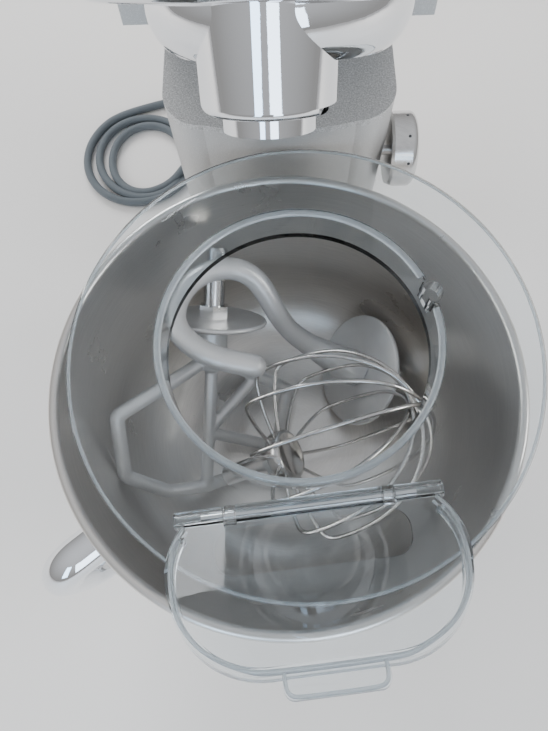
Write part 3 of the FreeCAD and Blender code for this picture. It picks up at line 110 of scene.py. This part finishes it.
class Paint:
    """A procedural material: a Principled shader and short calls that add nodes to it."""

    def __init__(self, name):
        self.material = bpy.data.materials.new(name)
        self.material.use_nodes = True
        self.tree = self.material.node_tree
        self.shader = self.tree.nodes["Principled BSDF"]
        self.place = self.node("ShaderNodeTexCoord").outputs["Object"]

    def node(self, kind, **values):
        made = self.tree.nodes.new(kind)
        for key, value in values.items():
            setattr(made, key, value)
        return made

    def link(self, source, target):
        self.tree.links.new(source, target)
        return self

    def set(self, **values):
        for key, value in values.items():
            socket = self.shader.inputs[key.replace("_", " ")]
            socket.default_value = (*value, 1.0) if isinstance(value, tuple) and len(value) == 3 else value
        return self

    def noise(self, scale, detail=4.0, where=None, rough=0.55):
        made = self.node("ShaderNodeTexNoise")
        made.inputs["Scale"].default_value = scale
        made.inputs["Detail"].default_value = detail
        made.inputs["Roughness"].default_value = rough
        self.link(where or self.place, made.inputs["Vector"])
        return made.outputs["Fac"]

    def ramp(self, source, *stops):
        made = self.node("ShaderNodeValToRGB")
        elements = made.color_ramp.elements
        while len(elements) < len(stops):
            elements.new(0.5)
        for element, (where, colour) in zip(elements, stops):
            element.position = where
            element.color = (*colour, 1.0) if isinstance(colour, tuple) else (colour, colour, colour, 1.0)
        self.link(source, made.inputs["Fac"])
        return made.outputs["Color"]

    def stretched(self, x, y, z):
        made = self.node("ShaderNodeMapping")
        made.inputs["Scale"].default_value = (x, y, z)
        self.link(self.place, made.inputs["Vector"])
        return made.outputs["Vector"]

    def round_the_axis(self, across, along, centre=(0.0, 0.0)):
        """Coordinates that run round the Z axis: brush lines follow circles."""
        split = self.node("ShaderNodeSeparateXYZ")
        moved = self.node("ShaderNodeMapping")
        moved.inputs["Location"].default_value = (-centre[0], -centre[1], 0)
        self.link(self.place, moved.inputs["Vector"])
        self.link(moved.outputs["Vector"], split.inputs[0])
        turn = self.node("ShaderNodeMath", operation="ARCTAN2")
        self.link(split.outputs["Y"], turn.inputs[0]).link(split.outputs["X"], turn.inputs[1])
        reach = self.node("ShaderNodeVectorMath", operation="LENGTH")
        flat = self.node("ShaderNodeCombineXYZ")
        self.link(split.outputs["X"], flat.inputs[0]).link(split.outputs["Y"], flat.inputs[1])
        self.link(flat.outputs[0], reach.inputs[0])
        joined = self.node("ShaderNodeCombineXYZ")
        for index, (source, factor) in enumerate(((turn.outputs[0], along), (reach.outputs["Value"], across),
                                                  (split.outputs["Z"], across))):
            times = self.node("ShaderNodeMath", operation="MULTIPLY")
            times.inputs[1].default_value = factor
            self.link(source, times.inputs[0]).link(times.outputs[0], joined.inputs[index])
        return joined.outputs[0]

    def bump(self, height, distance, strength=1.0):
        made = self.node("ShaderNodeBump")
        made.inputs["Distance"].default_value = distance
        made.inputs["Strength"].default_value = strength
        self.link(height, made.inputs["Height"]).link(made.outputs["Normal"], self.shader.inputs["Normal"])
        return self

    def colour(self, source):
        return self.link(source, self.shader.inputs["Base Color"])

    def rough(self, source):
        return self.link(source, self.shader.inputs["Roughness"])


def speckled_paint(name, base, fleck, grain, depth, metal=0.55):
    paint = Paint(name).set(Metallic=metal)
    flecks = paint.noise(grain, 2.0, rough=0.8)
    paint.colour(paint.ramp(flecks, (0.36, tuple(c * fleck for c in base)), (0.55, base),
                            (0.70, tuple(min(1.0, c * 1.35) for c in base))))
    paint.rough(paint.ramp(paint.noise(grain * 0.5), (0.3, 0.34), (0.7, 0.48)))
    return paint.bump(flecks, depth).material


def polished(name, base, low, high, metal=1.0):
    paint = Paint(name).set(Metallic=metal)
    paint.colour(paint.ramp(paint.noise(14.0), (0.3, tuple(c * 0.95 for c in base)), (0.7, base)))
    paint.rough(paint.ramp(paint.noise(60.0, 6.0), (0.35, low), (0.7, high)))
    return paint.bump(paint.noise(900.0, 2.0), 0.000004).material


def brushed(name, base, centre=(0.0, 0.0), low=0.20, high=0.34):
    paint = Paint(name).set(Metallic=1.0)
    lines = paint.noise(1.0, 5.0, paint.round_the_axis(1500.0, 5.0, centre), 0.7)
    worn = paint.noise(22.0, 5.0)
    paint.colour(paint.ramp(lines, (0.3, tuple(c * 0.86 for c in base)), (0.7, base)))
    paint.rough(paint.ramp(worn, (0.3, low), (0.72, high)))
    return paint.bump(lines, 0.000025, 0.7).material


def moulded(name, base, rough, grain=700.0, depth=0.00004, sheen=0.05):
    paint = Paint(name).set(Metallic=0.0)
    paint.colour(paint.ramp(paint.noise(40.0, 5.0), (0.3, tuple(c * 0.86 for c in base)), (0.7, base)))
    paint.rough(paint.ramp(paint.noise(90.0), (0.3, rough - sheen), (0.7, rough + sheen)))
    return paint.bump(paint.noise(grain, 3.0), depth).material


def cast(name, base, rough=0.42):
    paint = Paint(name).set(Metallic=0.55)
    grain = paint.noise(1100.0, 3.0, rough=0.7)
    paint.colour(paint.ramp(paint.noise(30.0, 5.0), (0.3, tuple(c * 0.88 for c in base)), (0.7, base)))
    paint.rough(paint.ramp(grain, (0.3, rough - 0.06), (0.7, rough + 0.08)))
    return paint.bump(grain, 0.00005).material


def clear(name, tint, rough, through=1.0):
    paint = Paint(name).set(Metallic=0.0, IOR=1.46, Transmission_Weight=through, Base_Color=tint)
    scuffs = paint.noise(35.0, 8.0, rough=0.75)
    paint.rough(paint.ramp(scuffs, (0.52, rough), (0.80, rough + 0.22)))
    return paint.bump(paint.noise(18.0, 2.0), 0.00002).material


def ribbed(name, base, axis, pitch):
    """Laminations or turns of wire stacked along one axis."""
    paint = Paint(name).set(Metallic=0.7)
    wave = paint.node("ShaderNodeTexWave", bands_direction=axis)
    wave.inputs["Scale"].default_value = pitch
    wave.inputs["Distortion"].default_value = 0.6
    paint.link(paint.place, wave.inputs["Vector"])
    paint.colour(paint.ramp(wave.outputs["Fac"], (0.2, tuple(c * 0.5 for c in base)), (0.7, base)))
    paint.rough(paint.ramp(paint.noise(80.0), (0.3, 0.36), (0.7, 0.52)))
    return paint.bump(wave.outputs["Fac"], 0.0002).material


STEEL = (0.80, 0.775, 0.745)
M = {
    "cap": speckled_paint("speckled_silver", (0.60, 0.60, 0.60), 0.62, 1300.0, 0.00008),
    "body": speckled_paint("satin_silver", (0.53, 0.53, 0.525), 0.93, 2400.0, 0.00001, 0.45),
    "chrome": polished("chrome", (0.86, 0.88, 0.91), 0.02, 0.07),
    "bowl": brushed("bowl_steel", STEEL, low=0.26, high=0.38),
    "knob": brushed("knob_steel", (0.72, 0.72, 0.72), low=0.16, high=0.26),
    "clear": clear("clear_plastic", (0.93, 0.965, 0.985), 0.015),
    # painted highlight: whitish, half-clear plastic for the edge beads, standing in for the bright lines that
    # light makes along clear edges
    "edge_highlight": clear("clear_plastic_painted_edge_highlight", (0.86, 0.92, 0.96), 0.10, 0.62),
    "cast": cast("cast_aluminium", (0.80, 0.805, 0.81)),
    "steel": polished("bright_steel", (0.72, 0.72, 0.72), 0.10, 0.22),
    "wire": polished("wire_steel", (0.64, 0.63, 0.62), 0.12, 0.24),
    "zinc": polished("zinc_steel", (0.55, 0.56, 0.58), 0.25, 0.40),
    "gear": ribbed("gear_steel", (0.34, 0.34, 0.35), "Z", 260.0),
    "iron": ribbed("laminated_iron", (0.30, 0.30, 0.31), "Z", 320.0),
    "copper": ribbed("copper_winding", (0.62, 0.30, 0.14), "Z", 420.0),
    "brass": polished("brass", (0.72, 0.56, 0.28), 0.18, 0.32),
    "grey": moulded("grey_moulding", (0.20, 0.205, 0.21), 0.48),
    "seat": moulded("seat_moulding", (0.16, 0.165, 0.17), 0.52),
    "rubber": moulded("black_rubber", (0.03, 0.03, 0.03), 0.72, 500.0, 0.0001),
    "carbon": moulded("carbon", (0.04, 0.04, 0.04), 0.60, 900.0, 0.00006),
    "cord": moulded("cord_sheath", (0.13, 0.15, 0.165), 0.46, 1400.0, 0.00006),
    "board": moulded("circuit_board", (0.04, 0.20, 0.09), 0.40, 300.0, 0.00008),
    "pot": moulded("pot_body", (0.05, 0.08, 0.16), 0.42),
    "ink": moulded("dial_ink", (0.05, 0.055, 0.06), 0.55),
}
NODE_MATERIALS = {
    "cap": "column_cap head_cover fast_outlet_cover",
    "body": "base_casting column_shell head_housing slow_outlet_cover",
    "chrome": "hub_ring planet_hub tool_socket bowl_handle slow_outlet",
    "bowl": "bowl_shell bowl_foot",
    "knob": "speed_knob",
    "clear": "splash_guard feed_lid",
    "cast": "k_beater dough_hook gearbox_casing",
    "steel": ("k_beater_shank dough_hook_shank whisk_shank main_shaft main_bearings hinge_pin lid_pin "
              "latch_bolt"),
    "wire": "whisk_wires whisk_hub latch_spring",
    "zinc": "base_screws head_screws hinge_bracket",
    "gear": "ring_gear planet_pinion main_gear idler_gear slow_outlet_drive",
    "iron": "motor_stator armature",
    "copper": "field_coils",
    "brass": "plug_pins commutator",
    "grey": "base_cover release_lever driven_pulley drive_pulley cooling_fan",
    "seat": "bowl_seat",
    "rubber": "rubber_feet drive_belt",
    "carbon": "carbon_brushes",
    "cord": "strain_relief cord_lead cord_tail cord_coil plug_body",
    "board": "control_board",
    "pot": "speed_pot",
}


def dress(obj, key):
    obj.data.materials.clear()
    obj.data.materials.append(M[key])


def link(name, data, material):
    obj = bpy.data.objects.new(name, data)
    bpy.context.scene.collection.objects.link(obj)
    obj.data.materials.append(M[material])
    return obj


# --- mains lead ---------------------------------------------------------------------------------

CORD_DIAMETER = 7.0
LEAD = [(-34, 264, 40), (-34, 284, 40), (-37, 303, 33), (-46, 318, 20), (-61, 326, 9),
        (-80, 327, 3.6), (-99, 324, 3.6)]
TAIL = [(-104, 229, 3.6), (-93, 237, 5), (-84, 246, 10.6), (-73, 254, 10.8), (-60, 258.5, 6.5),
        (-45, 258, 3.6), (-28, 260, 3.6), (-12, 265.5, 5), (2, 270, 9.5), (17, 272, 15), (31, 272, 15)]
TURN_POINTS = 14
COIL_TURNS = 2.5
FLOOR_LINE = 3.6
FIRST_TURN = ((-126.0, 263.0), (51.5, 54.0))
LAST_TURN = ((-119.0, 258.0), (32.0, 33.0))


def coil_points():
    """The loose turns: each lies inside the one before it and drifts off its centre."""
    points = []
    count = int(TURN_POINTS * COIL_TURNS)
    (x1, y1), (a1, b1) = FIRST_TURN
    (x2, y2), (a2, b2) = LAST_TURN
    for index in range(1, count + 1):
        share = index / count
        turn = math.pi / 2 + 2 * math.pi * index / TURN_POINTS
        wander = 1.4 * math.sin(2.3 * turn)
        x = x1 + (x2 - x1) * share + (a1 + (a2 - a1) * share + wander) * math.cos(turn)
        y = y1 + (y2 - y1) * share + (b1 + (b2 - b1) * share + wander) * math.sin(turn)
        points.append((x, y, FLOOR_LINE))
    return points


def spline_curve(name, points, radius, material, radii=None, order=3):
    """A round bar along one open NURBS spline through given points, in millimetres."""
    data = bpy.data.curves.new(name, "CURVE")
    data.dimensions = "3D"
    data.bevel_depth = radius * MM
    data.bevel_resolution = 5
    data.use_fill_caps = True
    line = data.splines.new("NURBS")
    line.points.add(len(points) - 1)
    for index, point in enumerate(points):
        line.points[index].co = (*(Vector(point) * MM), 1.0)
        line.points[index].radius = radii[index] if radii else 1.0
    line.order_u = order
    line.use_endpoint_u = True
    line.resolution_u = 8
    return link(name, data, material)


def make_cord():
    route = LEAD + coil_points() + TAIL
    flex = spline_curve("mains_lead", route, CORD_DIAMETER / 2, "cord")
    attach(flex, "base")
    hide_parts("cord_lead", "cord_coil", "cord_tail")


# --- meshes -------------------------------------------------------------------------------------

def mesh_of(*objects):
    """One mesh from several objects with their modifiers, which are then removed."""
    bpy.context.view_layer.update()
    graph = bpy.context.evaluated_depsgraph_get()
    joined = bmesh.new()
    for obj in objects:
        data = bpy.data.meshes.new_from_object(obj.evaluated_get(graph))
        data.transform(obj.matrix_world)
        joined.from_mesh(data)
        bpy.data.meshes.remove(data)
    for obj in objects:
        bpy.data.objects.remove(obj)
    result = bpy.data.meshes.new("joined")
    joined.to_mesh(result)
    joined.free()
    return result


def melted(name, objects, voxel, material, smooth=4):
    """Castings: the bars grow together into one skin with soft inside corners."""
    piece = link(name, mesh_of(*objects), material)
    piece.name = name
    remesh = piece.modifiers.new("skin", "REMESH")
    remesh.mode = "VOXEL"
    remesh.voxel_size = voxel * MM
    soften = piece.modifiers.new("soften", "SMOOTH")
    soften.factor = 0.5
    soften.iterations = smooth
    final = link(name + "_final", mesh_of(piece), material)
    final.name = name
    for polygon in final.data.polygons:
        polygon.use_smooth = True
    return final


def lathe(name, profile, material, segments=96, frame=Matrix.Identity(4)):
    """A turned solid from (radius, height) points in millimetres, closed where the radius is 0."""
    shape = bmesh.new()
    rings = []
    for radius, height in profile:
        if radius <= 0:
            rings.append([shape.verts.new((0, 0, height * MM))])
        else:
            rings.append([shape.verts.new((radius * MM * math.cos(2 * math.pi * k / segments),
                                           radius * MM * math.sin(2 * math.pi * k / segments), height * MM))
                          for k in range(segments)])
    for low, high in zip(rings, rings[1:] + ([] if profile[0][0] <= 0 else [rings[0]])):
        for k in range(segments):
            corners = [low[k % len(low)], low[(k + 1) % len(low)],
                       high[(k + 1) % len(high)], high[k % len(high)]]
            corners = list(dict.fromkeys(corners))
            if len(corners) > 2:
                shape.faces.new(corners)
    bmesh.ops.recalc_face_normals(shape, faces=shape.faces)
    shape.transform(frame)
    data = bpy.data.meshes.new(name)
    shape.to_mesh(data)
    shape.free()
    for polygon in data.polygons:
        polygon.use_smooth = True
    return link(name, data, material)


def tool_frame(spot, axis, roll):
    lean = Vector((0, 0, 1)).rotation_difference(Vector(axis)).to_matrix()
    turn = lean @ Matrix.Rotation(math.radians(roll), 3, "Z")
    return Matrix.Translation(Vector(spot) * MM) @ turn.to_4x4()


BEATER_FRAME = tool_frame((-41, 53, 125), (0.10, 0.81, 0.58), 31)
HOOK_FRAME = tool_frame((48.9, 33.8, 74), (0.82, 0.07, -0.57), 0)
WHISK_FRAME = tool_frame((-5, -25, 93), (-0.83, -0.20, -0.52), 11)
HOOK_ROUTE = [(-16, 15, 148), (-27, 16, 152), (-39, 19, 154), (-49, 25, 156), (-56, 33, 157), (-58, 42, 157),
              (-55, 53, 157), (-48, 62, 157), (-37, 68, 156), (-25, 70, 152), (-15, 67, 145), (-9, 60, 136),
              (-3, 52, 123), (5, 47, 109), (15, 44, 98), (27, 40, 88)]


def disc_profile(radius):
    """Thin dished disc with a rolled edge, which keeps the mixture out of the socket."""
    return [(0, 0.0), (radius * 0.30, 0.0), (radius * 0.34, -0.35), (radius - 2.4, -0.35),
            (radius - 1.5, 0.0), (radius - 0.4, -0.4), (radius, -1.3), (radius - 0.3, -2.4),
            (radius - 1.4, -3.0), (0, -3.0)]


def make_beater():
    half, deep, bar = 62.0, 116.0, 4.2
    hoop = [(-6, 0, -27), (-half * 0.5, 0, -40), (-half + bar, 0, -53), (-half * 0.86, 0, -deep * 0.79),
            (-half * 0.42, 0, -deep + bar + 3), (0, 0, -deep + bar), (half * 0.42, 0, -deep + bar + 3),
            (half * 0.86, 0, -deep * 0.79), (half - bar, 0, -53), (half * 0.5, 0, -40), (6, 0, -27)]
    bars = []
    dense = []
    for start, stop in zip(hoop, hoop[1:]):  # close points near each corner keep it tight
        dense += [tuple(Vector(start).lerp(Vector(stop), share)) for share in (0.0, 0.12, 0.5, 0.88)]
    bars.append(spline_curve("hoop", dense + [hoop[-1]], bar, "cast", order=4))
    for name, start, stop in (("spine", (0, 0, -27), (0, 0, -deep + bar)),
                              ("upper", (0, 0, -72), (half * 0.55, 0, -39)),
                              ("lower", (0, 0, -74), (half * 0.80, 0, -deep * 0.81))):
        middle = Vector(start).lerp(Vector(stop), 0.5)
        bars.append(spline_curve(name, [start, tuple(middle), stop], bar - 0.3, "cast"))
    bars.append(lathe("neck", [(0, -2), (9.0, -2), (8.6, -14), (9.4, -26), (7.0, -32), (0, -34)], "cast"))
    casting = melted("beater_casting", bars, 0.9, "cast")
    casting.data.transform(BEATER_FRAME)
    plate = lathe("beater_disc", disc_profile(31.0), "cast", 128, BEATER_FRAME)
    for piece in (casting, plate):
        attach(piece, "beater")
    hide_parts("k_beater")


def make_hook():
    base = HOOK_FRAME @ Vector((0, 0, -0.0015))
    run = [tuple(Vector(HOOK_ROUTE[-1]).lerp(base / MM, share)) for share in (0.4, 0.8, 1.0)]
    points = HOOK_ROUTE + run
    bar = 6.2
    swell = [1.0] * (len(HOOK_ROUTE) - 2) + [1.12, 1.42] + [1.75, 1.95, 1.9]
    arm = spline_curve("arm", points, bar, "cast", swell, order=4)
    tip_outline = [(0, -6.2), (3.6, -5.0), (5.6, -2.4), (6.2, 0), (5.6, 2.4), (3.6, 5.0), (0, 6.2)]
    tip = lathe("tip", tip_outline, "cast", 32)
    tip.matrix_world = Matrix.Translation(Vector(HOOK_ROUTE[0]) * MM)
    casting = melted("hook_casting", [arm, tip], 0.9, "cast")
    plate = lathe("hook_disc", disc_profile(36.0), "cast", 128, HOOK_FRAME)
    for piece in (casting, plate):
        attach(piece, "hook")
    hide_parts("dough_hook")


def make_whisk():
    radius, length, shoulder, loops = 53.0, 98.0, 14.0, 6
    for index in range(loops):
        angle = math.pi * index / loops
        wide = radius - 0.5 * index
        low = -length + 2.6 * index
        half = [(10, -3.5 - 0.3 * index), (wide * 0.5, -shoulder * 0.42), (wide - 8, -shoulder * 0.8),
                (wide, -shoulder - 1), (wide + 1, -shoulder - 9), (wide, -shoulder - 24),
                (wide * 0.9, -length * 0.6), (wide * 0.62, low * 0.86), (wide * 0.25, low * 0.98)]
        flat = [(-x, z) for x, z in half] + [(x, z) for x, z in reversed(half)]
        wire = spline_curve(f"whisk_wire_{index + 1}", [(x * math.cos(angle), x * math.sin(angle), z)
                                                      for x, z in flat], 1.1, "wire", order=4)
        wire.matrix_world = WHISK_FRAME
        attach(wire, "whisk")
        if not index:
            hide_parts("whisk_wires")
    outline = [(0, 0), (13.6, 0), (14.6, -0.5), (15, -1.6), (15, -7.6), (14.2, -8.8), (12.4, -9),
               (11.8, -8.4), (0, -8.4)]
    hub = lathe("whisk_plate", outline, "wire", 96, WHISK_FRAME)
    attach(hub, "whisk")
    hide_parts("whisk_hub")


def make_bowl():
    """Pressed bowl: flat floor, wide corner, nearly straight wall and a rolled bead at the rim."""
    rim, mouth, floor, corner, wall, flare, bead = 174.0, 106.8, 38.0, 52.0, 1.2, 4.0, 2.6
    side = mouth - flare
    flat = side - corner
    lower = [(flat + corner * math.sin(math.radians(a)), floor + corner * (1 - math.cos(math.radians(a))))
             for a in range(0, 91, 6)]
    outer = [(flat + (corner + wall) * math.sin(math.radians(a)),
              floor + corner - (corner + wall) * math.cos(math.radians(a))) for a in range(0, 91, 6)]
    roll = [(mouth + bead - bead * math.cos(math.radians(a)), rim - bead + bead * math.sin(math.radians(a)))
            for a in range(0, 271, 15)]
    wall_up = [(side + flare * share, floor + corner + (rim - bead - floor - corner) * share)
               for share in (0.25, 0.5, 0.75)]
    profile = [(0, floor)] + lower + wall_up + roll + [(mouth + wall, rim - bead * 2)]
    profile += [(r + wall, z) for r, z in reversed(wall_up)] + list(reversed(outer)) + [(0, floor - wall)]
    bowl = lathe("bowl_shell", profile, "bowl", 192)
    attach(bowl, "bowl")
    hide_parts("bowl_shell")


GUARD_FRAME = Matrix.Translation(Vector((8.6, 14.0, 174.0)) * MM) @ Matrix.Rotation(math.radians(6.0), 4, "Z")
LID_FRAME = (GUARD_FRAME @ Matrix.Translation(Vector((-8.0, -71.1, 10.0)) * MM)
             @ Matrix.Rotation(math.radians(-28.0), 4, "X"))


def edge_bead(name, points, radius, place, body):
    placed = [place @ (Vector(point) * MM) / MM for point in points]
    # the bead gets the whitish painted edge highlight material
    bead = spline_curve(name, placed, radius, "edge_highlight")
    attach(bead, body)


def arc_points(radius, height, start, stop, count, centre=(0.0, 0.0)):
    return [(centre[0] + radius * math.cos(math.radians(start + (stop - start) * k / count)),
             centre[1] + radius * math.sin(math.radians(start + (stop - start) * k / count)), height)
            for k in range(count + 1)]


def make_guard_edges():
    """The rounded edges of the clear mouldings, as beads of whitish half-clear plastic: painted highlight for
    the bright lines that light makes along the edges.
    """
    edge_bead("collar_bead", arc_points(61.5, 23.0, 20, 365, 60, (-3.0, -1.5)), 1.4, GUARD_FRAME, "guard")
    edge_bead("flange_bead", arc_points(111.0, 1.4, 0, 360, 72), 0.7, GUARD_FRAME, "guard")
    half = [(22, -62.2), (30, -61), (44, -54.3), (53, -44), (56.5, -34), (58.0, -20), (56.4, -10),
            (52.5, -4.5)]
    outline = [(-x, y) for x, y in reversed(half)] + half
    for name, height, radius, tuck in (("lid_bead", 1.1, 0.75, 0.4), ("skirt_bead", -4.0, 0.7, 0.8)):
        points = [(x - math.copysign(tuck, x), y + tuck, height) for x, y in outline]
        edge_bead(name, points, radius, LID_FRAME, "lid")
    tab = [(-17.2, -62.5), (-17.2, -67), (-15.8, -69.4), (-13, -70.2), (0, -70.2), (13, -70.2), (15.8, -69.4),
           (17.2, -67), (17.2, -62.5)]
    edge_bead("tab_bead", [(x, y, 1.1) for x, y in tab], 0.7, LID_FRAME, "lid")


def make_dial():
    """Printed dots round the rim of the knob."""
    dots, first, step, inset, proud = 7, 150, 40, 0.0058, 0.00003
    low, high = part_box("speed_knob")
    centre = Vector((high.x - inset, (low.y + high.y) / 2, (low.z + high.z) / 2))
    radius = (high.z - low.z) / 2
    for index in range(dots):
        angle = math.radians(first - step * index)
        outward = Vector((0, math.cos(angle), math.sin(angle)))
        lean = Vector((0, 0, 1)).rotation_difference(outward).to_matrix().to_4x4()
        dot_frame = Matrix.Translation(centre + outward * (radius + proud)) @ lean
        dot = lathe(f"dial_dot_{index}", [(0, 0.12), (0.7, 0.12), (0.85, 0), (0, 0)], "ink", 24, dot_frame)
        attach(dot, "knob")


def make_floor():
    paint = Paint("table_top").set(Metallic=0.0)
    paint.colour(paint.ramp(paint.noise(3.0, 6.0), (0.3, (0.80, 0.785, 0.765)), (0.7, (0.84, 0.825, 0.805))))
    paint.rough(paint.ramp(paint.noise(30.0), (0.3, 0.50), (0.7, 0.60)))
    M["floor"] = paint.material
    slab = bmesh.new()
    bmesh.ops.create_grid(slab, x_segments=8, y_segments=8, size=3.0)
    data = bpy.data.meshes.new("floor")
    slab.to_mesh(data)
    slab.free()
    link("floor", data, "floor")


def make_studio():
    """Soft room light, a window behind the mixer, and two panes in front for the chrome to mirror."""
    world = bpy.data.worlds.new("studio")
    world.use_nodes = True
    tree = world.node_tree
    background = tree.nodes["Background"]
    background.inputs["Strength"].default_value = 0.85
    sky = tree.nodes.new("ShaderNodeValToRGB")
    direction = tree.nodes.new("ShaderNodeTexCoord")
    height = tree.nodes.new("ShaderNodeSeparateXYZ")
    tree.links.new(direction.outputs["Generated"], height.inputs[0])
    tree.links.new(height.outputs["Z"], sky.inputs["Fac"])
    tree.links.new(sky.outputs["Color"], background.inputs["Color"])
    low, high = sky.color_ramp.elements
    low.position, low.color = 0.0, (0.42, 0.41, 0.40, 1)
    high.position, high.color = 1.0, (0.92, 0.93, 0.96, 1)
    bpy.context.scene.world = world
    area_light("window", (-0.5, 1.9, 1.2), (0, 0.05, 0.1), (1.3, 0.9), 40, (0.97, 0.98, 1.0), False)
    area_light("side", (1.7, -0.3, 1.0), (0, 0, 0.1), (1.0, 0.9), 21, (1.0, 0.975, 0.94), False)
    area_light("fill", (-1.8, 0.2, 1.1), (0, 0, 0.1), (1.2, 1.0), 19, (1.0, 0.965, 0.92), False)
    area_light("left_pane", (-0.42, -1.25, 0.75), (0, 0.05, 0.3), (0.34, 0.9), 5, (0.55, 0.76, 1.0))
    area_light("right_pane", (0.30, -1.25, 0.75), (0, 0.05, 0.3), (0.46, 0.9), 6, (0.70, 0.84, 1.0))


for key, names in NODE_MATERIALS.items():
    for name in names.split():
        dress(NODES[name], key)

make_camera()
make_cord()
make_beater()
make_hook()
make_whisk()
make_bowl()
make_guard_edges()
make_dial()

make_floor()
make_studio()

bpy.context.view_layer.update()
